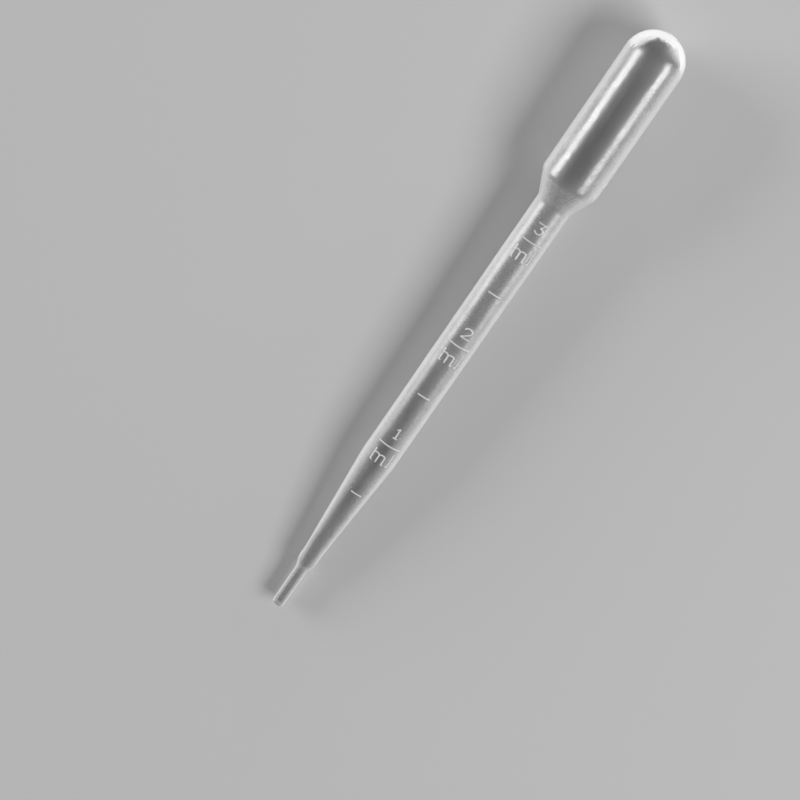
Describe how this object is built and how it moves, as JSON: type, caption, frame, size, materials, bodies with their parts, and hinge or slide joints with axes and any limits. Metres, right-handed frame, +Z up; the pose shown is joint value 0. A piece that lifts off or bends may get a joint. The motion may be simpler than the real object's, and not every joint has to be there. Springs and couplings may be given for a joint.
{
  "type": "dropper pipette",
  "caption": "One-piece blown plastic dropper pipette: open fine tip, tapered foot, straight stem with a raised volume scale, cone neck and a domed squeeze bulb, lying on its side.",
  "frame": {"origin": "on the surface that the pipette lies on, under the middle of its bounding box", "axes": "+X along the pipette towards the squeeze bulb, tilted with the part as it lies; +Z up, with the raised scale facing up"},
  "size_m": [0.1524, 0.0128, 0.0138],
  "materials": {
    "polyethylene": "milky translucent low-density polyethylene, satin gloss, moulded in one piece"
  },
  "bodies": {
    "root": {"pipette": "polyethylene"}
  },
  "joints": []
}
